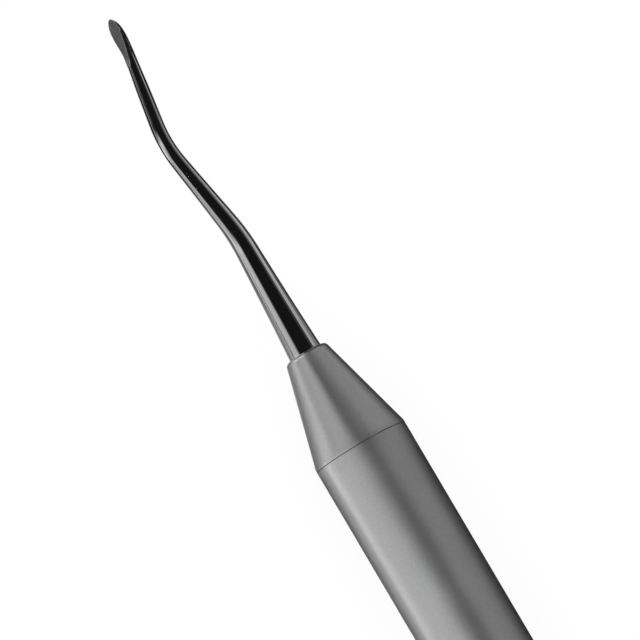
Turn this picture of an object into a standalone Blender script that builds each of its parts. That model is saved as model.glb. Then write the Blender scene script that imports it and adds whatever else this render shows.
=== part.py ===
# Periodontal tunneling instrument: a bent, leaf-ended working tip pressed into a turned
# nose cone, on a hollow round handle that a turned plug closes at the butt.
# It lies along X with the tip at +X, on the flat of its lowest facet, and +Z is up.

import math

import bmesh
import bpy
import numpy as np
from mathutils import Matrix, Vector

mm = 0.001

# Handle tube
handle_diameter = 9.5 * mm
tube_length = 112.0 * mm
tube_wall = 1.0 * mm

# Seams and fits between the pieces
seam_gap = 0.04 * mm
seam_edge_radius = 0.06 * mm
spigot_clearance = 0.03 * mm
bore_clearance = 0.03 * mm
spigot_chamfer = 0.4 * mm

# Nose cone, measured from the seam with the tube
cone_length = 10.25 * mm
cone_shoulder = 0.46 * mm
shoulder_radius = 3.0 * mm
nose_rim = 0.42 * mm
nose_edge_radius = 0.4 * mm
mouth_edge_radius = 0.05 * mm
cone_spigot_length = 7.0 * mm

# End plug
plug_length = 5.0 * mm
plug_edge_radius = 0.9 * mm
plug_spigot_length = 7.0 * mm

# Working tip: runs are measured along the handle's axis, and offsets from that axis,
# in the plane that the shank is bent in
bend_plane_roll = math.radians(50.0)
tang_length = 15.0 * mm
first_run = 13.03 * mm
first_bend_offset = -0.24 * mm
first_bend_radius = 17.0 * mm
second_run = 10.51 * mm
second_bend_offset = 1.88 * mm
second_bend_radius = 10.6 * mm
third_run = 9.48 * mm
third_bend_offset = -0.05 * mm
third_bend_radius = 8.0 * mm
blade_run = 3.32 * mm
tip_offset = 0.15 * mm

# Shank diameters, with the neck's places measured back from the tip
mouth_diameter = 3.26 * mm
mouth_taper = 1.25  # the taper at the mouth, over the mean one as far as the first bend
first_bend_diameter = 2.03 * mm
second_bend_diameter = 1.44 * mm
neck_start_to_tip = 7.57 * mm
neck_start_diameter = 1.32 * mm
neck_to_tip = 3.97 * mm
neck_diameter = 1.13 * mm

# Blade: a round-backed leaf with one face ground flat
widest_to_tip = 1.38 * mm
blade_width = 1.49 * mm
blade_thickness = 0.80 * mm
face_slope = math.radians(7.0)
face_length = 3.2 * mm
face_runout_radius = 5.5 * mm
face_runout_angle = math.radians(50.0)
grinding_clearance = 2.0 * mm

# Fineness of the round forms
handle_sides = 48
shank_sides = 28
arc_tolerance = 0.002 * mm
shank_ring_spacing = 0.75 * mm
neck_ring_spacing = 0.32 * mm
blade_ring_spacing = 0.2 * mm
blade_end_rings = 9

handle_radius = handle_diameter / 2
tube_bore_radius = handle_radius - tube_wall
spigot_radius = tube_bore_radius - spigot_clearance
tang_radius = mouth_diameter / 2
cone_bore_radius = tang_radius + bore_clearance
nose_radius = cone_bore_radius + nose_rim
axis_height = handle_radius * math.cos(math.pi / handle_sides)

first_bend_station = first_run
second_bend_station = first_bend_station + second_run
third_bend_station = second_bend_station + third_run
tip_station = third_bend_station + blade_run
neck_start_station = tip_station - neck_start_to_tip
neck_station = tip_station - neck_to_tip
widest_station = tip_station - widest_to_tip

overall_length = plug_length + tube_length + cone_length + tip_station + 2 * seam_gap
butt_x = -overall_length / 2
tube_x = butt_x + plug_length + seam_gap
cone_x = tube_x + tube_length + seam_gap
mouth_x = cone_x + cone_length


def clear_scene():
    for obj in list(bpy.data.objects):
        bpy.data.objects.remove(obj, do_unlink=True)


def steel(name, value, roughness):
    material = bpy.data.materials.new(name)
    material.use_nodes = True
    shader = material.node_tree.nodes["Principled BSDF"]
    shader.inputs["Base Color"].default_value = (value, value, value, 1.0)
    shader.inputs["Metallic"].default_value = 1.0
    shader.inputs["Roughness"].default_value = roughness
    return material


def setbacks(points, radii, closed):
    """How far each corner's arc starts from the corner, limited where two arcs would meet."""
    count = len(points)
    wanted = [0.0] * count
    for i in range(count):
        if radii[i] > 0 and (closed or 0 < i < count - 1):
            back = (points[i - 1] - points[i]).normalized()
            ahead = (points[(i + 1) % count] - points[i]).normalized()
            wanted[i] = radii[i] * math.tan((math.pi - back.angle(ahead)) / 2)
    limited = list(wanted)
    for i in range(count if closed else count - 1):
        j = (i + 1) % count
        room = 0.98 * (points[j] - points[i]).length
        if wanted[i] + wanted[j] > room:
            share = room / (wanted[i] + wanted[j])
            limited[i] = min(limited[i], wanted[i] * share)
            limited[j] = min(limited[j], wanted[j] * share)
    return limited


def arc_steps(radius, turn):
    """How many chords keep within the tolerance of an arc."""
    return max(1, math.ceil(turn / (2 * math.acos(1 - arc_tolerance / radius))))


def rounded(corners, closed):
    """Points along straight runs whose corners, each given as (x, y, radius), are arcs."""
    points = [Vector(corner[:2]) for corner in corners]
    starts = setbacks(points, [corner[2] for corner in corners], closed)
    line = []
    for i, corner in enumerate(points):
        if starts[i] == 0:
            line.append(corner)
            continue
        back = (points[i - 1] - corner).normalized()
        ahead = (points[(i + 1) % len(points)] - corner).normalized()
        turn = math.pi - back.angle(ahead)
        radius = starts[i] / math.tan(turn / 2)
        centre = corner + (back + ahead).normalized() * radius / math.cos(turn / 2)
        spoke = corner + back * starts[i] - centre
        side = 1 if back.x * ahead.y - back.y * ahead.x < 0 else -1
        steps = arc_steps(radius, turn)
        for k in range(steps + 1):
            line.append(centre + Matrix.Rotation(side * turn * k / steps, 2) @ spoke)
    return line


def finish_object(name, bm, material, parent, x):
    """Makes the object, with round faces smooth and its turned edges sharp."""
    bmesh.ops.remove_doubles(bm, verts=bm.verts, dist=1e-8)
    bmesh.ops.recalc_face_normals(bm, faces=bm.faces)
    mesh = bpy.data.meshes.new(name)
    bm.to_mesh(mesh)
    bm.free()
    mesh.shade_smooth()
    mesh.set_sharp_from_angle(angle=math.radians(32))
    mesh.materials.append(material)
    obj = bpy.data.objects.new(name, mesh)
    bpy.context.scene.collection.objects.link(obj)
    obj.parent = parent
    obj.location = (x, 0, 0)
    return obj


def turned(name, corners, closed, material, parent, x):
    """Spins an outline of (x, radius, corner radius) about the handle's axis."""
    bm = bmesh.new()
    half_facet = Matrix.Rotation(math.pi / handle_sides, 3, "X")
    outline = rounded(corners, closed)
    verts = [bm.verts.new(half_facet @ Vector((p.x, 0, p.y))) for p in outline]
    pairs = list(zip(verts, verts[1:]))
    if closed:
        pairs.append((verts[-1], verts[0]))
    edges = [bm.edges.new(pair) for pair in pairs]
    bmesh.ops.spin(
        bm, geom=verts + edges, cent=(0, 0, 0), axis=(1, 0, 0), angle=2 * math.pi,
        steps=handle_sides, use_merge=True,
    )
    return finish_object(name, bm, material, parent, x)


def make_handle_tube(material, parent):
    corners = [
        (0, handle_radius, seam_edge_radius),
        (tube_length, handle_radius, seam_edge_radius),
        (tube_length, tube_bore_radius, 0),
        (0, tube_bore_radius, 0),
    ]
    return turned("handle_tube", corners, True, material, parent, tube_x)


def make_nose_cone(material, parent):
    corners = [
        (-cone_spigot_length, cone_bore_radius, 0),
        (-cone_spigot_length, spigot_radius - spigot_chamfer, 0),
        (-cone_spigot_length + spigot_chamfer, spigot_radius, 0),
        (0, spigot_radius, 0),
        (0, handle_radius, seam_edge_radius),
        (cone_shoulder, handle_radius, shoulder_radius),
        (cone_length, nose_radius, nose_edge_radius),
        (cone_length, cone_bore_radius, mouth_edge_radius),
    ]
    return turned("nose_cone", corners, True, material, parent, cone_x)


def make_end_plug(material, parent):
    corners = [
        (-plug_length, 0, 0),
        (-plug_length, handle_radius, plug_edge_radius),
        (0, handle_radius, seam_edge_radius),
        (0, spigot_radius, 0),
        (plug_spigot_length - spigot_chamfer, spigot_radius, 0),
        (plug_spigot_length, spigot_radius - spigot_chamfer, 0),
        (plug_spigot_length, 0, 0),
    ]
    return turned("end_plug", corners, False, material, parent, butt_x + plug_length)


def centreline():
    """The bent shank's centre, from the mouth of the cone to the blade's end."""
    corners = [
        (-tang_length, 0, 0),
        (0, 0, 0),
        (first_bend_station, first_bend_offset, first_bend_radius),
        (second_bend_station, second_bend_offset, second_bend_radius),
        (third_bend_station, third_bend_offset, third_bend_radius),
        (tip_station, tip_offset, 0),
    ]
    return rounded(corners, False)


def eased(stations, values, x):
    """A smooth curve through the values that never swings past them."""
    gaps = np.diff(stations)
    slopes = np.diff(values) / gaps
    tangents = np.zeros(len(values))
    for i in range(1, len(values) - 1):
        if slopes[i - 1] * slopes[i] > 0:
            tangents[i] = 2 / (1 / slopes[i - 1] + 1 / slopes[i])
    tangents[0] = slopes[0] * mouth_taper
    i = int(np.clip(np.searchsorted(stations, x) - 1, 0, len(gaps) - 1))
    t = (x - stations[i]) / gaps[i]
    rise = (t**3 - 2 * t**2 + t) * tangents[i] + (t**3 - t**2) * tangents[i + 1]
    return float(values[i] + (3 * t**2 - 2 * t**3) * (values[i + 1] - values[i]) + rise * gaps[i])


def shank_radius(x):
    """Half the forging's diameter before its face is ground."""
    if x <= 0:
        return tang_radius
    if x > widest_station:
        share = (x - widest_station) / (tip_station - widest_station)
        return blade_width / 2 * math.sqrt(max(0.0, 1 - share**2))
    stations = np.array([
        0, first_bend_station, second_bend_station,
        neck_start_station, neck_station, widest_station,
    ])
    diameters = np.array([
        mouth_diameter, first_bend_diameter, second_bend_diameter,
        neck_start_diameter, neck_diameter, blade_width,
    ])
    return eased(stations, diameters, x) / 2


def evenly(start, end, spacing):
    return np.linspace(start, end, max(2, math.ceil((end - start) / spacing) + 1))[:-1]


def ring_stations():
    end_length = tip_station - widest_station
    angles = np.linspace(0, math.pi / 2, blade_end_rings + 1)[:-1]
    return np.concatenate([
        [-tang_length + spigot_chamfer],
        evenly(0, neck_start_station, shank_ring_spacing),
        evenly(neck_start_station, neck_station, neck_ring_spacing),
        evenly(neck_station, widest_station, blade_ring_spacing),
        widest_station + end_length * np.sin(angles),
    ])


def make_forging():
    """The shank and blade as one round bar of changing size, before grinding."""
    line = centreline()
    xs = np.array([p.x for p in line])
    offsets = np.array([p.y for p in line])
    slopes = np.gradient(offsets, xs)
    bm = bmesh.new()
    loops = []
    for x in [-tang_length, *ring_stations()]:
        radius = tang_radius - spigot_chamfer if x == -tang_length else shank_radius(x)
        centre = Vector((x, 0, np.interp(x, xs, offsets)))
        angle = math.atan(np.interp(x, xs, slopes)) if x > 0 else 0.0
        up = Vector((-math.sin(angle), 0, math.cos(angle)))
        ring = []
        for k in range(shank_sides):
            turn = 2 * math.pi * (k + 0.5) / shank_sides
            spoke = up * math.cos(turn) + Vector((0, math.sin(turn), 0))
            ring.append(bm.verts.new(centre + radius * spoke))
        loops.append(ring)
    for ring, following in zip(loops, loops[1:]):
        for k in range(shank_sides):
            j = (k + 1) % shank_sides
            bm.faces.new((ring[k], ring[j], following[j], following[k]))
    bm.faces.new(loops[0])
    end = bm.verts.new((tip_station, 0, tip_offset))
    for k in range(shank_sides):
        bm.faces.new((loops[-1][k], loops[-1][(k + 1) % shank_sides], end))
    return bm


def face_height():
    """Where the ground face lies at the blade's widest station."""
    line = centreline()
    centre = np.interp(widest_station, [p.x for p in line], [p.y for p in line])
    return centre - blade_width / 2 + blade_thickness


def make_grinding_cutter(parent):
    """The metal that grinding takes off: a flat face that runs out in an arc at its heel."""
    slope = math.tan(face_slope)
    start_x = tip_station - face_length
    start_z = face_height() + slope * (widest_station - start_x)
    centre_x = start_x + face_runout_radius * math.sin(face_slope)
    centre_z = start_z + face_runout_radius * math.cos(face_slope)
    beyond_x = tip_station + grinding_clearance
    steps = arc_steps(face_runout_radius, face_runout_angle - face_slope)
    outline = [(beyond_x, face_height() - slope * (beyond_x - widest_station))]
    for angle in np.linspace(face_slope, face_runout_angle, steps + 1):
        x = centre_x - face_runout_radius * math.sin(angle)
        outline.append((x, centre_z - face_runout_radius * math.cos(angle)))
    top = outline[-1][1] + grinding_clearance
    outline += [(outline[-1][0], top), (beyond_x, top)]
    half_width = blade_width / 2 + grinding_clearance
    bm = bmesh.new()
    face = bm.faces.new([bm.verts.new((x, -half_width, z)) for x, z in outline])
    extruded = bmesh.ops.extrude_face_region(bm, geom=[face])["geom"]
    moved = [item for item in extruded if isinstance(item, bmesh.types.BMVert)]
    bmesh.ops.translate(bm, verts=moved, vec=(0, 2 * half_width, 0))
    cutter = finish_object("grinding_cutter", bm, None, parent, 0)
    cutter.hide_render = True
    cutter.display_type = "WIRE"
    return cutter


def make_working_tip(material, parent):
    tip = finish_object("working_tip", make_forging(), material, parent, mouth_x)
    tip.rotation_euler = (-bend_plane_roll, 0, 0)
    ground = tip.modifiers.new("ground_face", "BOOLEAN")
    ground.operation = "DIFFERENCE"
    ground.object = make_grinding_cutter(tip)
    return tip


def build():
    clear_scene()
    satin_steel = steel("satin_steel", 0.55, 0.42)
    polished_steel = steel("polished_steel", 0.68, 0.12)
    axis = bpy.data.objects.new("instrument_axis", None)
    bpy.context.scene.collection.objects.link(axis)
    axis.location = (0, 0, axis_height)
    make_handle_tube(satin_steel, axis)
    make_end_plug(satin_steel, axis)
    make_nose_cone(satin_steel, axis)
    make_working_tip(polished_steel, axis)


build()
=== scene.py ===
# Periodontal tunneling instrument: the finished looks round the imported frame.
# The satin handle, nose cone and end plug and the polished working tip stand for the plain
# solids, on the same axis and with nearly the same sizes.
import math

import bpy
import numpy as np
from mathutils import Matrix, Vector


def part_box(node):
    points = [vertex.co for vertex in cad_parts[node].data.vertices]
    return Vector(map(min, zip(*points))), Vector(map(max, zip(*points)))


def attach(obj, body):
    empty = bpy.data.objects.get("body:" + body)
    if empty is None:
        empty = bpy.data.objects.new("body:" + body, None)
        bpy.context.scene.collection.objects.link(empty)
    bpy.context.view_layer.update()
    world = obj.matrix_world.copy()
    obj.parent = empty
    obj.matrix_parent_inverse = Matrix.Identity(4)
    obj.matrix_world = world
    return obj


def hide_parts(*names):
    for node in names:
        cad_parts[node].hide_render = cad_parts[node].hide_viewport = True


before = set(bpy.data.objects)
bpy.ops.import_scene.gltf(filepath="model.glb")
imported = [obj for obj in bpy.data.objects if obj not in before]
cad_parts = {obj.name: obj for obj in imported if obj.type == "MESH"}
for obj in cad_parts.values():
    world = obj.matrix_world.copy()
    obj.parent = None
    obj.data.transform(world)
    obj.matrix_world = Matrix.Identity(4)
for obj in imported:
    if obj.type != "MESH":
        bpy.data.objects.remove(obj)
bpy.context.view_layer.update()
print("frame loaded, nodes:", ", ".join(sorted(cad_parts)))

mm = 0.001
tubeLow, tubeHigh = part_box("handle_tube")
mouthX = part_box("nose_cone")[1].x  # the shank comes out of the cone here
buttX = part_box("end_plug")[0].x
handleRadius = (tubeHigh.z - tubeLow.z) / 2
axisHeight = tubeLow.z + handleRadius

seams = {
    "gap": 0.05 * mm,  # between two turned pieces
    "edgeBreak": 0.02 * mm,  # the small bevel on each turned edge
    "paintedShadeGrey": 0.01,  # painted shade on what is deep in the seams and bores
    "insideRoughness": 0.6,
    "tubeWall": 1.0 * mm,
    "spigotClearance": 0.03 * mm,
    "spigotLength": 7.0 * mm,
    "spigotChamfer": 0.4 * mm,
    "tangClearance": 0.03 * mm,
}
spigotRadius = handleRadius - seams["tubeWall"] - seams["spigotClearance"]


def addObject(name, data):
    added = bpy.data.objects.new(name, data)
    bpy.context.scene.collection.objects.link(added)
    return added


# Takes a share between 0 and 1 and makes its start and end gentle.
def eased(share):
    return share * share * (3 - 2 * share)


rounding = {
    "leastSteps": 4,  # in each arc
    "roomForHolds": 4,  # a straight run gets holds when it is longer than this many of them
    "sharpAngle": math.radians(35),
}


# Corners are (x, height, round); straight runs stay straight and rounds become fine arcs.
# A loop at hold from each end of a straight run keeps the round's shading to itself.
def roundedLine(corners, closed, stepAngle, hold):
    points = [Vector(corner[:2]) for corner in corners]
    last = len(points) - 1
    runs = []  # the points that each corner turns into
    for i, corner in enumerate(points):
        radius = corners[i][2]
        if radius == 0 or (not closed and i in (0, last)):
            runs.append([corner])
            continue
        back = (points[i - 1] - corner).normalized()
        ahead = (points[(i + 1) % len(points)] - corner).normalized()
        turn = math.pi - back.angle(ahead)
        reach = radius * math.tan(turn / 2)
        centre = corner + (back + ahead).normalized() * radius / math.cos(turn / 2)
        spoke = corner + back * reach - centre
        side = 1 if back.x * ahead.y - back.y * ahead.x < 0 else -1
        steps = max(rounding["leastSteps"], math.ceil(turn / stepAngle))
        turns = [side * turn * k / steps for k in range(steps + 1)]
        runs.append([centre + Matrix.Rotation(a, 2) @ spoke for a in turns])
    line = []
    for i, run in enumerate(runs):
        line += run
        if closed or i < last:
            start, end = run[-1], runs[(i + 1) % len(runs)][0]
            length = (end - start).length
            if hold and length > rounding["roomForHolds"] * hold:
                along = (end - start) / length
                line += [start + along * hold, end - along * hold]
    return line


def makeMesh(name, verts, faces, materials, faceMaterials):
    mesh = bpy.data.meshes.new(name)
    mesh.from_pydata([tuple(v) for v in verts], [], faces)
    for material in materials:
        mesh.materials.append(material)
    mesh.polygons.foreach_set("material_index", faceMaterials)
    mesh.validate()
    mesh.shade_smooth()
    mesh.set_sharp_from_angle(angle=rounding["sharpAngle"])
    mesh.update()
    return addObject(name, mesh)


def newMaterial(name, colour, roughness):
    material = bpy.data.materials.new(name)
    material.use_nodes = True
    nodes, links = material.node_tree.nodes, material.node_tree.links
    shader = nodes["Principled BSDF"]
    shader.inputs["Base Color"].default_value = (colour, colour, colour, 1)
    shader.inputs["Metallic"].default_value = 1
    shader.inputs["Roughness"].default_value = roughness
    return material, nodes, links, shader


noiseRange = (0.3, 0.7)  # where nearly all values of a noise lie


# Noise over the piece's own space; stretch is how long the grain is along each axis.
def grain(nodes, links, size, detail, stretch=(1, 1, 1)):
    place = nodes.new("ShaderNodeTexCoord")
    scale = nodes.new("ShaderNodeMapping")
    scale.inputs["Scale"].default_value = [1 / s for s in stretch]
    noise = nodes.new("ShaderNodeTexNoise")
    noise.inputs["Scale"].default_value = 1 / size
    noise.inputs["Detail"].default_value = detail
    links.new(place.outputs["Object"], scale.inputs["Vector"])
    links.new(scale.outputs["Vector"], noise.inputs["Vector"])
    return noise.outputs["Fac"]


def spread(nodes, links, value, low, high):
    ramp = nodes.new("ShaderNodeMapRange")
    ramp.inputs["From Min"].default_value = noiseRange[0]
    ramp.inputs["From Max"].default_value = noiseRange[1]
    ramp.inputs["To Min"].default_value = low
    ramp.inputs["To Max"].default_value = high
    links.new(value, ramp.inputs["Value"])
    return ramp.outputs["Result"]


def greys(nodes, links, value, low, high):
    ramp = nodes.new("ShaderNodeValToRGB")
    for stop, position, grey in zip(ramp.color_ramp.elements, noiseRange, (low, high)):
        stop.position = position
        stop.color = (grey, grey, grey, 1)
    links.new(value, ramp.inputs["Fac"])
    return ramp.outputs["Color"]


def bumps(nodes, links, height, depth, strength):
    bump = nodes.new("ShaderNodeBump")
    bump.inputs["Distance"].default_value = depth
    bump.inputs["Strength"].default_value = strength
    links.new(height, bump.inputs["Height"])
    return bump.outputs["Normal"]


satin = {
    "grey": (0.535, 0.605),
    "roughness": (0.33, 0.35),
    "beadSize": 0.18 * mm,  # the dimples that bead blasting leaves
    "beadDetail": 3.0,
    "beadDepth": 0.010 * mm,
    "beadStrength": 0.35,
    "cloudSize": 2.2 * mm,  # the blasting isn't perfectly even
    "cloudDetail": 4.0,
}


def satinSteel():
    material, nodes, links, shader = newMaterial(
        "satinSteel", satin["grey"][0], satin["roughness"][0])
    beads = grain(nodes, links, satin["beadSize"], satin["beadDetail"])
    clouds = grain(nodes, links, satin["cloudSize"], satin["cloudDetail"])
    dimples = bumps(nodes, links, beads, satin["beadDepth"], satin["beadStrength"])
    links.new(greys(nodes, links, beads, *satin["grey"]), shader.inputs["Base Color"])
    links.new(spread(nodes, links, clouds, *satin["roughness"]), shader.inputs["Roughness"])
    links.new(dimples, shader.inputs["Normal"])
    return material


mirror = {
    "grey": 0.62,
    "roughness": (0.03, 0.045),
    "lineSize": 0.05 * mm,  # polishing lines, which run along the shank
    "lineDetail": 3.0,
    "lineStretch": (60, 1, 1),
    "waveSize": 2.6 * mm,  # the slight unevenness of hand polishing
    "waveDetail": 1.0,
    "waveStretch": (2, 1, 1),
    "waveDepth": 0.002 * mm,
    "waveStrength": 0.5,
}


def mirrorSteel():
    material, nodes, links, shader = newMaterial(
        "mirrorSteel", mirror["grey"], mirror["roughness"][0])
    lines = grain(nodes, links, mirror["lineSize"], mirror["lineDetail"], mirror["lineStretch"])
    waves = grain(nodes, links, mirror["waveSize"], mirror["waveDetail"], mirror["waveStretch"])
    hollows = bumps(nodes, links, waves, mirror["waveDepth"], mirror["waveStrength"])
    links.new(spread(nodes, links, lines, *mirror["roughness"]), shader.inputs["Roughness"])
    links.new(hollows, shader.inputs["Normal"])
    return material


ground = {
    "grey": (0.46, 0.64),
    "roughness": (0.30, 0.38),
    "markSize": 0.09 * mm,  # the grinding wheel's marks, which cross the blade
    "markDetail": 4.0,
    "markStretch": (1, 4, 4),
    "markDepth": 0.002 * mm,
    "markStrength": 0.4,
}


def groundSteel():
    material, nodes, links, shader = newMaterial(
        "groundSteel", ground["grey"][0], ground["roughness"][0])
    marks = grain(nodes, links, ground["markSize"], ground["markDetail"], ground["markStretch"])
    scratches = bumps(nodes, links, marks, ground["markDepth"], ground["markStrength"])
    links.new(greys(nodes, links, marks, *ground["grey"]), shader.inputs["Base Color"])
    links.new(spread(nodes, links, marks, *ground["roughness"]), shader.inputs["Roughness"])
    links.new(scratches, shader.inputs["Normal"])
    return material


satinFinish = satinSteel()
# The seams' walls and the hidden bores are near-black steel: painted shade between the parts.
seamShadeFinish = newMaterial("paintedSeamShade", seams["paintedShadeGrey"], seams["insideRoughness"])[0]
mirrorFinish = mirrorSteel()
groundFinish = groundSteel()
print("materials made")


turning = {
    "sides": 192,
    "arcStep": math.radians(7.5),
    "hold": 0.03 * mm,
    "longestFace": 2.0 * mm,
    "onAxis": 1e-9,  # a point with less radius than this is on the axis
}


# Turns an outline of (x, radius, round) about the handle's axis, as on a lathe. The faces whose
# middle isInside are in a seam or a bore and get the near-black painted shade.
def turnedPiece(name, corners, closed, isInside):
    outline = roundedLine(corners, closed, turning["arcStep"], turning["hold"])
    line = []
    for a, b in zip(outline, outline[1:] + outline[:1]):
        line.append(a)
        parts = math.ceil((b - a).length / turning["longestFace"])
        if parts > 1 and (closed or b is not outline[0]):
            line += [a.lerp(b, k / parts) for k in range(1, parts)]
    sides = turning["sides"]
    angles = (np.arange(sides) + 0.5) * 2 * math.pi / sides
    verts, rings = [], []
    for p in line:
        if p.y < turning["onAxis"]:
            rings.append([len(verts)] * sides)
            verts.append((p.x, 0, axisHeight))
            continue
        rings.append(list(range(len(verts), len(verts) + sides)))
        for a in angles:
            verts.append((p.x, p.y * math.sin(a), axisHeight - p.y * math.cos(a)))
    pairs = list(zip(rings, rings[1:]))
    if closed:
        pairs.append((rings[-1], rings[0]))
    faces, finishes = [], []
    for ring, following in pairs:
        first, second = Vector(verts[ring[0]]), Vector(verts[following[0]])
        reach = [math.hypot(p.y, p.z - axisHeight) for p in (first, second)]
        finish = int(isInside((first.x + second.x) / 2, sum(reach) / 2))
        for k in range(sides):
            j = (k + 1) % sides
            face = list(dict.fromkeys((ring[k], following[k], following[j], ring[j])))
            if len(face) > 2:
                faces.append(face)
                finishes.append(finish)
    return makeMesh(name, verts, faces, [satinFinish, seamShadeFinish], finishes)


def handleTube():
    bore, bevel = handleRadius - seams["tubeWall"], seams["edgeBreak"]
    corners = [
        (tubeLow.x, handleRadius - bevel, 0),
        (tubeLow.x + bevel, handleRadius, 0),
        (tubeHigh.x - bevel, handleRadius, 0),
        (tubeHigh.x, handleRadius - bevel, 0),
        (tubeHigh.x, bore, 0),
        (tubeLow.x, bore, 0),
    ]
    outside = handleRadius - bevel
    piece = turnedPiece("handleTube", corners, True, lambda x, radius: radius < outside)
    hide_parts("handle_tube")
    return piece


cone = {
    "shoulder": 0.26 * mm,
    "shoulderRound": 0.5 * mm,
    "noseRim": 0.45 * mm,  # the flat ring round the mouth
    "noseRound": 0.45 * mm,
    "mouthRound": 0.05 * mm,
    "mouthDiameter": 3.28 * mm,
}


def noseCone():
    seamX = tubeHigh.x + seams["gap"]
    backX = seamX - seams["spigotLength"]
    chamfer, bevel = seams["spigotChamfer"], seams["edgeBreak"]
    bore = cone["mouthDiameter"] / 2 + seams["tangClearance"]
    corners = [
        (backX, bore, 0),
        (backX, spigotRadius - chamfer, 0),
        (backX + chamfer, spigotRadius, 0),
        (seamX, spigotRadius, 0),
        (seamX, handleRadius - bevel, 0),
        (seamX + bevel, handleRadius, 0),
        (seamX + cone["shoulder"], handleRadius, cone["shoulderRound"]),
        (mouthX, bore + cone["noseRim"], cone["noseRound"]),
        (mouthX, bore, cone["mouthRound"]),
    ]
    outside = seamX + bevel / 4  # between the seam's flat face and the bevel's middle
    piece = turnedPiece("noseCone", corners, True, lambda x, radius: x < outside)
    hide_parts("nose_cone")
    return piece


plug = {"edgeRound": 0.9 * mm}


def endPlug():
    seamX = tubeLow.x - seams["gap"]
    frontX = seamX + seams["spigotLength"]
    chamfer, bevel = seams["spigotChamfer"], seams["edgeBreak"]
    corners = [
        (buttX, 0, 0),
        (buttX, handleRadius, plug["edgeRound"]),
        (seamX - bevel, handleRadius, 0),
        (seamX, handleRadius - bevel, 0),
        (seamX, spigotRadius, 0),
        (frontX - chamfer, spigotRadius, 0),
        (frontX, spigotRadius - chamfer, 0),
        (frontX, 0, 0),
    ]
    outside = seamX - bevel / 4  # between the seam's flat face and the bevel's middle
    piece = turnedPiece("endPlug", corners, False, lambda x, radius: x > outside)
    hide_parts("end_plug")
    return piece


# The working tip is the bent, tapering shank and its leaf-shaped blade, as one forging.
shank = {
    "bendPlaneRoll": math.radians(50),  # how far the bends' plane leans from upright, towards +Y
    "tangLength": 15.0 * mm,
    # (run along the axis, offset from it, bend radius) of each bend
    "bends": [
        (12.78 * mm, -0.25 * mm, 17.0 * mm),
        (10.60 * mm, 1.90 * mm, 10.6 * mm),
        (9.64 * mm, -0.05 * mm, 8.0 * mm),
    ],
    "bladeRun": 3.32 * mm,  # from the last bend to the tip
    "tipOffset": 0.16 * mm,
    "mouthTaper": 1.25,  # the slope at the mouth, as a share of the mean one to the first bend
    "firstBendDiameter": 2.09 * mm,
    "secondBendDiameter": 1.47 * mm,
    "neckStartToTip": 7.57 * mm,
    "neckStartDiameter": 1.32 * mm,
    "neckToTip": 3.97 * mm,
    "neckDiameter": 1.13 * mm,
}
blade = {
    "widestToTip": 1.38 * mm,
    "width": 1.51 * mm,
    "thickness": 0.81 * mm,
    "faceTwist": math.radians(1.5),  # how far the face turns out of the bends' plane
    "faceSlope": math.radians(7),
    "faceLength": 3.2 * mm,
    "runoutRadius": 5.5 * mm,
    "runoutAngle": math.radians(50),
    "rimRound": 0.03 * mm,  # the ground edge is broken, not razor sharp
    "rimOfFace": 0.3,  # the round takes at most these shares of the half face
    "rimOfBack": 0.2,  # and of the back
}
tipMesh = {
    "lineStep": 0.02 * mm,
    "bendStep": math.radians(0.1),
    "bendBlend": 0.12 * mm,  # eases each arc into its straight runs
    "blendReach": 4,  # the blend ends at this many times its width
    "tangSpacing": 2.0 * mm,
    "mouthRing": 0.15 * mm,  # the tang's last ring is this far inside the mouth
    "shankSpacing": 0.13 * mm,
    "bladeSpacing": 0.06 * mm,
    "heelLead": 0.6 * mm,  # the blade's spacing starts this far before its face
    "endRings": 26,
    "backPoints": 76,
    "facePoints": 25,
    "faceCrowding": 1.15,  # above 1 the face's points draw together towards its rim
    "rimPoints": 3,
    "heelFan": math.radians(5),  # the face's points span this angle where the face starts
    "shankFan": math.radians(45),  # and this one further back on the round shank
    "fanLength": 3.0 * mm,
    "heelStep": 0.01 * mm,  # in the search for where the face starts
    "cutReach": 1.5,  # in radii: a cut this high misses the shank
    "halvings": 40,
    "leastRadius": 1e-7,  # stands for the tip's own radius of nothing
}
bendStations = np.cumsum([bend[0] for bend in shank["bends"]])
tipStation = bendStations[-1] + shank["bladeRun"]
widestStation = tipStation - blade["widestToTip"]


def smoothed(values, width):
    reach = int(tipMesh["blendReach"] * width)
    weights = np.exp(-0.5 * (np.arange(-reach, reach + 1) / width) ** 2)
    padded = np.concatenate([
        2 * values[0] - values[reach:0:-1],
        values,
        2 * values[-1] - values[-2 : -reach - 2 : -1],
    ])
    return np.convolve(padded, weights / weights.sum(), "valid")


# The shank's centre as offsets at even stations, with its slope.
def shankLine():
    corners = [(-shank["tangLength"], 0, 0), (0, 0, 0)]
    for station, bend in zip(bendStations, shank["bends"]):
        corners.append((station, bend[1], bend[2]))
    corners.append((tipStation, shank["tipOffset"], 0))
    line = roundedLine(corners, False, tipMesh["bendStep"], 0)
    step = tipMesh["lineStep"]
    stations = np.arange(-shank["tangLength"], tipStation + step, step)
    offsets = np.interp(stations, [p.x for p in line], [p.y for p in line])
    end = line[-1] - line[-2]  # past the tip the line runs on straight
    beyond = stations > tipStation
    offsets[beyond] = line[-1].y + (stations[beyond] - tipStation) * end.y / end.x
    offsets = smoothed(offsets, tipMesh["bendBlend"] / step)
    return stations, offsets, np.gradient(offsets, stations)


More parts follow.
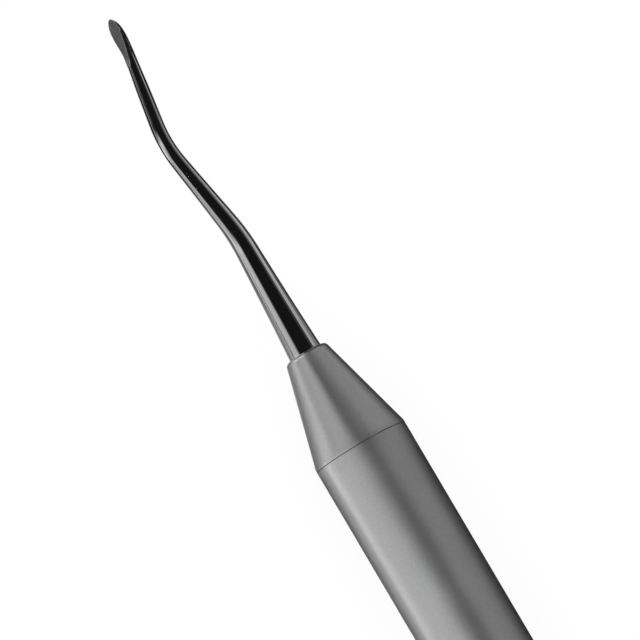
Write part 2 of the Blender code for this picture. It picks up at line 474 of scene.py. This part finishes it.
# Half the round bar's diameter along the shank, before its face is ground: a smooth curve
# through the named diameters that never overshoots them, then a round end.
def shankRadii(stations):
    places = np.array([
        0,
        *bendStations[:2],
        tipStation - shank["neckStartToTip"],
        tipStation - shank["neckToTip"],
        widestStation,
    ])
    sizes = np.array([
        cone["mouthDiameter"],
        shank["firstBendDiameter"],
        shank["secondBendDiameter"],
        shank["neckStartDiameter"],
        shank["neckDiameter"],
        blade["width"],
    ])
    gaps, slopes = np.diff(places), np.diff(sizes) / np.diff(places)
    tangents = np.zeros(len(sizes))
    tangents[0] = slopes[0] * shank["mouthTaper"]
    for i in range(1, len(sizes) - 1):
        if slopes[i - 1] * slopes[i] > 0:
            tangents[i] = 2 / (1 / slopes[i - 1] + 1 / slopes[i])
    i = np.clip(np.searchsorted(places, stations) - 1, 0, len(gaps) - 1)
    t = (stations - places[i]) / gaps[i]
    rise = (t**3 - 2 * t**2 + t) * tangents[i] + (t**3 - t**2) * tangents[i + 1]
    size = sizes[i] + (3 * t**2 - 2 * t**3) * (sizes[i + 1] - sizes[i]) + rise * gaps[i]
    size = np.where(stations <= 0, cone["mouthDiameter"], size)
    share = np.clip((stations - widestStation) / (tipStation - widestStation), 0, 1)
    return np.where(stations > widestStation, blade["width"] * np.sqrt(1 - share**2), size) / 2


# Height of the ground surface: flat along the blade, then an arc that runs out at its heel.
def groundHeight(x, faceHeight):
    slope = math.tan(blade["faceSlope"])
    startX = tipStation - blade["faceLength"]
    radius = blade["runoutRadius"]
    centreX = startX + radius * math.sin(blade["faceSlope"])
    centreZ = faceHeight + slope * (widestStation - startX) + radius * math.cos(blade["faceSlope"])
    if x >= startX:
        return faceHeight - slope * (x - widestStation)
    if x <= centreX - radius * math.sin(blade["runoutAngle"]):
        return math.inf  # nothing is ground off here
    return centreZ - math.sqrt(radius**2 - (x - centreX) ** 2)


# Halves the stretch from low to high round the place from which isBeyond holds.
def narrowed(low, high, isBeyond):
    for _ in range(tipMesh["halvings"]):
        middle = (low + high) / 2
        if isBeyond(middle):
            high = middle
        else:
            low = middle
    return low, high


# How far above the shank's centre the ground surface cuts this section.
def cutHeight(x, z, angle, radius, faceHeight):
    reach = tipMesh["cutReach"] * radius

    def isAbove(t):
        return z + t * math.cos(angle) > groundHeight(x - t * math.sin(angle), faceHeight)

    if not isAbove(reach):
        return reach
    if isAbove(-reach):
        return -reach
    low, high = narrowed(-reach, reach, isAbove)
    return (low + high) / 2


# One section of the tip as (across, up) points: the round back first, then the face.
def tipSection(radius, cut, fanAngle):
    cutAngle = math.acos(max(-1.0, min(1.0, cut / radius)))
    angle = max(cutAngle, fanAngle)
    halfFace = radius * math.sin(angle) if angle < math.pi / 2 or cut < radius else radius
    backLength = radius * (2 * math.pi - 2 * angle)
    ease = min(blade["rimRound"], blade["rimOfFace"] * halfFace, blade["rimOfBack"] * backLength)
    backStart, faceEdge = angle + ease / radius, halfFace - ease

    def onBack(a):
        return np.array([radius * math.sin(a), radius * math.cos(a)])

    def onFace(y):
        return np.array([y, min(math.sqrt(max(0.0, radius**2 - y * y)), cut)])

    def rimRound(start, corner, end):
        shares = [k / (tipMesh["rimPoints"] + 1) for k in range(1, tipMesh["rimPoints"] + 1)]
        return [(1 - t) ** 2 * start + 2 * t * (1 - t) * corner + t * t * end for t in shares]

    across = np.linspace(-1, 1, tipMesh["facePoints"])
    across = np.sign(across) * (1 - (1 - np.abs(across)) ** tipMesh["faceCrowding"])
    backAngles = np.linspace(backStart, 2 * math.pi - backStart, tipMesh["backPoints"])
    points = [onBack(a) for a in backAngles]
    points += rimRound(onBack(-backStart), onBack(-angle), onFace(-faceEdge))
    points += [onFace(y * faceEdge) for y in across]
    points += rimRound(onFace(faceEdge), onBack(angle), onBack(backStart))
    return points


# The stations of the tip's rings, from the tang's end to where the face meets the back.
def tipPlaces(heelStation, endStation):
    tangEnd, spacing = -shank["tangLength"], tipMesh["tangSpacing"]
    places = [tangEnd, tangEnd + seams["spigotChamfer"]]
    places += list(np.arange(tangEnd + spacing, 0, spacing)) + [-tipMesh["mouthRing"]]
    bladeStart = heelStation - tipMesh["heelLead"]
    count = math.ceil(bladeStart / tipMesh["shankSpacing"])
    places += list(np.linspace(0, bladeStart, count))[:-1]
    count = math.ceil((widestStation - bladeStart) / tipMesh["bladeSpacing"])
    places += list(np.linspace(bladeStart, widestStation, count))[:-1]
    angles = np.linspace(0, math.pi / 2, tipMesh["endRings"] + 1)[:-1]
    return places + list(widestStation + (endStation - widestStation) * np.sin(angles))


def workingTip():
    stations, offsets, slopes = shankLine()

    def lineAt(x):
        return float(np.interp(x, stations, offsets))

    def angleAt(x):
        return math.atan(float(np.interp(x, stations, slopes)))

    def radiusAt(x):
        return float(shankRadii(np.array([x]))[0])

    def cutAt(x):
        radius = max(radiusAt(x), tipMesh["leastRadius"])
        return cutHeight(x, lineAt(x), angleAt(x), radius, faceHeight)

    faceHeight = lineAt(widestStation) - blade["width"] / 2 + blade["thickness"]
    # The face starts where the wheel first cuts, and ends where it has cut all away.
    search = np.arange(tipStation - 2 * blade["faceLength"], tipStation, tipMesh["heelStep"])
    heelStation = next(x for x in search if cutAt(x) < radiusAt(x))
    endStation = narrowed(widestStation, tipStation, lambda x: cutAt(x) <= -radiusAt(x))[0]

    tangEnd, tangRadius = -shank["tangLength"], cone["mouthDiameter"] / 2
    twistX, twistY = math.cos(blade["faceTwist"]), math.sin(blade["faceTwist"])
    verts, rings, isGround = [], [], []
    for x in tipPlaces(heelStation, endStation):
        z, angle = lineAt(x), angleAt(x) if x > 0 else 0.0
        radius = radiusAt(x) if x > tangEnd else tangRadius - seams["spigotChamfer"]
        cut = cutHeight(x, z, angle, radius, faceHeight) if x > 0 else tipMesh["cutReach"] * radius
        beforeHeel = eased(min(1.0, max(0.0, (heelStation - x) / tipMesh["fanLength"])))
        fan = tipMesh["heelFan"] + beforeHeel * (tipMesh["shankFan"] - tipMesh["heelFan"])
        section = tipSection(radius, cut, fan)
        rings.append(range(len(verts), len(verts) + len(section)))
        isGround.append(cut < radius)
        for across, up in section:
            side, top = across * twistX + up * twistY, up * twistX - across * twistY
            verts.append((x - top * math.sin(angle), side, z + top * math.cos(angle)))

    faces, finishes = [], []
    firstFace = tipMesh["backPoints"] + tipMesh["rimPoints"]
    for i, (ring, following) in enumerate(zip(rings, rings[1:])):
        size = len(ring)
        for k in range(size):
            j = (k + 1) % size
            faces.append((ring[k], ring[j], following[j], following[k]))
            onFace = firstFace <= k < size - tipMesh["rimPoints"] - 1
            finishes.append(int(onFace and isGround[i] and isGround[i + 1]))
    z, angle, radius = lineAt(endStation), angleAt(endStation), radiusAt(endStation)
    for ring, centre, order in (
        (rings[0], (tangEnd, 0, 0), -1),
        (rings[-1], (endStation + radius * math.sin(angle), 0, z - radius * math.cos(angle)), 1),
    ):
        verts.append(centre)
        size = len(ring)
        for k in range(size):
            face = (ring[k], ring[(k + 1) % size], len(verts) - 1)
            faces.append(face[::order])
            finishes.append(0)
    roll = Matrix.Rotation(-shank["bendPlaneRoll"], 3, "X")
    placed = [roll @ Vector(v) + Vector((mouthX, 0, axisHeight)) for v in verts]
    piece = makeMesh("workingTip", placed, faces, [mirrorFinish, groundFinish], finishes)
    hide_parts("working_tip")
    return piece


for piece, finish in (
    (handleTube(), "satin_steel"),
    (noseCone(), "satin_steel"),
    (endPlug(), "satin_steel"),
    (workingTip(), "polished_steel"),
):
    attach(piece, "root")
    print("piece made:", piece.name, len(piece.data.polygons), "faces")


# The camera looks from above, with the tip slightly further away than the handle.
cameraView = {
    "tilt": math.radians(5.6),
    "frameWidth": 59.60 * mm,
    "lens": 1200.0,
    "sensor": 36.0,
    "clip": (0.01, 20),
    "aimAlong": 12.193 * mm,  # from the seam
    "aimAcross": 2.738 * mm,
    "axisInPicture": (-0.50789, 0.86142),
}


def makeCamera():
    tilt = cameraView["tilt"]
    back = Vector((-math.sin(tilt), 0, math.cos(tilt)))
    along = Vector((math.cos(tilt), 0, math.sin(tilt)))
    across = Vector((0, -1, 0))
    turnX, turnY = cameraView["axisInPicture"]
    right = turnX * along + turnY * across
    up = turnY * along - turnX * across
    seam = Vector((tubeHigh.x + seams["gap"], 0, axisHeight))
    aim = seam + along * cameraView["aimAlong"] + across * cameraView["aimAcross"]
    distance = cameraView["frameWidth"] * cameraView["lens"] / cameraView["sensor"]
    data = bpy.data.cameras.new("productCamera")
    data.lens, data.sensor_width = cameraView["lens"], cameraView["sensor"]
    data.clip_start, data.clip_end = cameraView["clip"]
    camera = addObject("productCamera", data)
    place = Matrix((right, up, back)).transposed().to_4x4()
    place.translation = aim + back * distance
    camera.matrix_world = place
    bpy.context.scene.camera = camera


makeCamera()
print("camera made")


# The studio is a white floor, a light tent whose soft panels the metal reflects, and a mat of
# painted floor shade and light.
# Around is measured about the handle from straight up, towards +Y; along leans towards the tip.
tent = {
    "radius": 4.0,
    "dark": 0.011,
    "around": 144,  # columns of its mesh
    "along": 72,  # rows
    "panels": [
        # around, half, along, half, strength, softness, in degrees
        (27, 15, -23, 7, 14, 3),  # the key light, behind on the left
        (22, 22, -26, 8, 6, 4),
        (-64, 26, -22, 8, 3.9, 3),  # behind on the right
        (-48, 15, -28, 15, 1.9, 5),
        (-44, 10, -16, 6, 0.8, 4),
        (67, 16, -23, 25, 0.6, 8),  # along the left
        (62, 22, 10, 5, 1, 9),
        (89, 9, 2, 6, 1, 5),
        (96, 12, 22, 6, 0.75, 3),
        (95, 16, 44, 11, 5.3, 3),  # in front on the left
        (34, 22, 52, 12, 2.15, 10),
        (64, 15, 39, 8, 0.48, 8),
        (-48, 36, 38, 5, 0.52, 8),  # in front on the right
        (-72, 24, 45, 20, 0.3, 14),
        (-80, 8, 14, 6, 0.6, 3),
        (-61, 5, 6, 5, 0.15, 4),
    ],
}
# The mat is painted reflection that only reflections see: dark as painted shade of the floor round
# the instrument, lighter where its cards lie, while the camera sees the white floor.
mat = {
    "height": 0.02 * mm,
    # painted shade, wherever no card lies
    "dark": 0.005,
    "near": ((20 * mm, 96 * mm), (-32 * mm, 32 * mm)),  # where its mesh is fine
    "step": 1.6 * mm,
    "growth": 1.3,
    "reach": 600 * mm,
    "cards": [
        # x, half, y, half, level, softness, in mm
        (-100, 150, 190, 155, 0.75, 10),  # left of the handle
        (-100, 152, 172, 162, 0.45, 7),
        (45, 8, 83, 48, 0.55, 3),  # left of the tip
        (64, 14, 45, 12, 0.75, 4),
        (71, 7, 71, 32, 1.7, 3),
        (56, 7, 13, 3, 0.3, 3),
        (84, 25, 1, 4, 0.5, 4),  # under the tip
        (72, 35, 2, 4, 0.6, 3),
        (105, 14, 4, 4, 0.3, 4),
        (-51, 93, -70, 25, 0.4, 8),  # right of the handle
        (-20, 60, -31, 19, 0.1, 6),
        (45, 8, -31, 19, 0.24, 6),  # right of the tip
        (53, 10, -13, 5, 0.12, 3),
        (65, 11, -44, 11, 0.5, 4),
        (66, 8, -171, 138, 1, 5),
    ],
}
floor = {
    "halfWidth": 15.0,
    "grey": 0.9,
    "glow": 0.92,  # its share of plain white, as the camera and reflections see it
}
air = {"ambient": 1.3}


# 1 within half of the centre and 0 beyond it, with a soft border between.
def window(value, centre, half, soft):
    return eased(np.clip((half - np.abs(value - centre)) / (2 * soft) + 0.5, 0, 1))


def tentGlow(around, along):
    glow = np.full(around.shape, tent["dark"])
    for centre, half, alongCentre, alongHalf, strength, soft in tent["panels"]:
        turned = (around - centre + 180) % 360 - 180
        acrossPanel = window(turned, 0, half, soft)
        glow += strength * acrossPanel * window(along, alongCentre, alongHalf, soft)
    return glow


def paintedFloorGlow(x, y):
    glow = np.full(x.shape, mat["dark"])
    for centreX, halfX, centreY, halfY, level, soft in mat["cards"]:
        alongCard = window(x / mm, centreX, halfX, soft)
        glow += level * alongCard * window(y / mm, centreY, halfY, soft)
    return glow


def emptyNodes(owner):
    owner.use_nodes = True
    owner.node_tree.nodes.clear()
    return owner.node_tree.nodes, owner.node_tree.links


# Only reflections see the tent and the mat; the world lights the floor.
def glowingSheet(name, verts, faces, glow):
    mesh = bpy.data.meshes.new(name)
    mesh.from_pydata(verts, [], faces)
    glows = mesh.attributes.new("glow", "FLOAT", "POINT")
    glows.data.foreach_set("value", glow.astype(np.float32))
    mesh.shade_smooth()
    sheet = addObject(name, mesh)
    material = bpy.data.materials.new(name)
    nodes, links = emptyNodes(material)
    level = nodes.new("ShaderNodeAttribute")
    level.attribute_name = "glow"
    light = nodes.new("ShaderNodeEmission")
    output = nodes.new("ShaderNodeOutputMaterial")
    links.new(level.outputs["Fac"], light.inputs["Strength"])
    links.new(light.outputs["Emission"], output.inputs["Surface"])
    material.cycles.emission_sampling = "NONE"
    mesh.materials.append(material)
    sheet.visible_camera = False
    sheet.visible_transmission = False
    sheet.visible_volume_scatter = False
    sheet.visible_diffuse = False
    sheet.visible_shadow = False


def lightTent():
    rows, columns = tent["along"], tent["around"]
    along = np.linspace(-90, 90, rows + 1)
    around = np.arange(columns) * 360 / columns - 180
    along, around = (grid.ravel() for grid in np.meshgrid(along, around, indexing="ij"))
    g, a = np.radians(along), np.radians(around)
    directions = np.stack([np.sin(g), np.cos(g) * np.sin(a), np.cos(g) * np.cos(a)], -1)
    verts = tent["radius"] * directions
    faces = []
    for i in range(rows):
        here, above = i * columns, (i + 1) * columns
        for k in range(columns):
            j = (k + 1) % columns
            faces.append((here + k, here + j, above + j, above + k))
    glowingSheet("lightTent", verts.tolist(), faces, tentGlow(around, along))


# Evenly spaced lines from low to high, then wider and wider apart out to the mat's edges.
def matLines(low, high):
    lines, gap = list(np.arange(low, high, mat["step"])), mat["step"]
    while lines[-1] < mat["reach"]:
        gap *= mat["growth"]
        lines = [lines[0] - gap, *lines, lines[-1] + gap]
    return np.array(lines)


# A sheet just over the floor, painted with the floor's shade and light as the metal reflects it.
def paintedFloorReflection():
    lengths, sides = (matLines(*near) for near in mat["near"])
    x, y = (grid.ravel() for grid in np.meshgrid(lengths, sides, indexing="ij"))
    verts = np.stack([x, y, np.full(x.shape, mat["height"])], -1)
    faces, wide = [], len(sides)
    for i in range(len(lengths) - 1):
        here, beyond = i * wide, (i + 1) * wide
        for k in range(wide - 1):
            faces.append((here + k, beyond + k, beyond + k + 1, here + k + 1))
    glowingSheet("paintedFloorReflection", verts.tolist(), faces, paintedFloorGlow(x, y))


# 1 for what the camera sees, straight or in a reflection, and 0 for light on a dull surface.
def isSeen(nodes, links):
    path = nodes.new("ShaderNodeLightPath")
    first = nodes.new("ShaderNodeMath")
    second = nodes.new("ShaderNodeMath")
    first.operation = second.operation = "MAXIMUM"
    links.new(path.outputs["Is Camera Ray"], first.inputs[0])
    links.new(path.outputs["Is Glossy Ray"], first.inputs[1])
    links.new(first.outputs[0], second.inputs[0])
    links.new(path.outputs["Is Transmission Ray"], second.inputs[1])
    return second.outputs[0]


def whiteFloor():
    half = floor["halfWidth"]
    corners = [(-half, -half, 0), (half, -half, 0), (half, half, 0), (-half, half, 0)]
    mesh = bpy.data.meshes.new("floor")
    mesh.from_pydata(corners, [], [(0, 1, 2, 3)])
    surface = addObject("floor", mesh)
    material = bpy.data.materials.new("whiteFloor")
    nodes, links = emptyNodes(material)
    paint = nodes.new("ShaderNodeBsdfDiffuse")
    paint.inputs["Color"].default_value = (floor["grey"], floor["grey"], floor["grey"], 1)
    glow = nodes.new("ShaderNodeEmission")
    share = nodes.new("ShaderNodeMath")
    share.operation = "MULTIPLY"
    share.inputs[1].default_value = floor["glow"]
    mix = nodes.new("ShaderNodeMixShader")
    output = nodes.new("ShaderNodeOutputMaterial")
    links.new(isSeen(nodes, links), share.inputs[0])
    links.new(share.outputs[0], mix.inputs["Fac"])
    links.new(paint.outputs["BSDF"], mix.inputs[1])
    links.new(glow.outputs["Emission"], mix.inputs[2])
    links.new(mix.outputs["Shader"], output.inputs["Surface"])
    material.cycles.emission_sampling = "NONE"
    mesh.materials.append(material)


def plainWorld():
    world = bpy.data.worlds.new("studioAir")
    nodes, links = emptyNodes(world)
    ambient = nodes.new("ShaderNodeBackground")
    ambient.inputs["Strength"].default_value = air["ambient"]
    white = nodes.new("ShaderNodeBackground")
    mix = nodes.new("ShaderNodeMixShader")
    output = nodes.new("ShaderNodeOutputWorld")
    links.new(isSeen(nodes, links), mix.inputs["Fac"])
    links.new(ambient.outputs["Background"], mix.inputs[1])
    links.new(white.outputs["Background"], mix.inputs[2])
    links.new(mix.outputs["Shader"], output.inputs["Surface"])
    for background in (ambient, white):
        background.inputs["Color"].default_value = (1, 1, 1, 1)
    bpy.context.scene.world = world


lightTent()
paintedFloorReflection()
whiteFloor()
plainWorld()
bpy.context.scene.view_settings.view_transform = "Standard"
print("studio made")
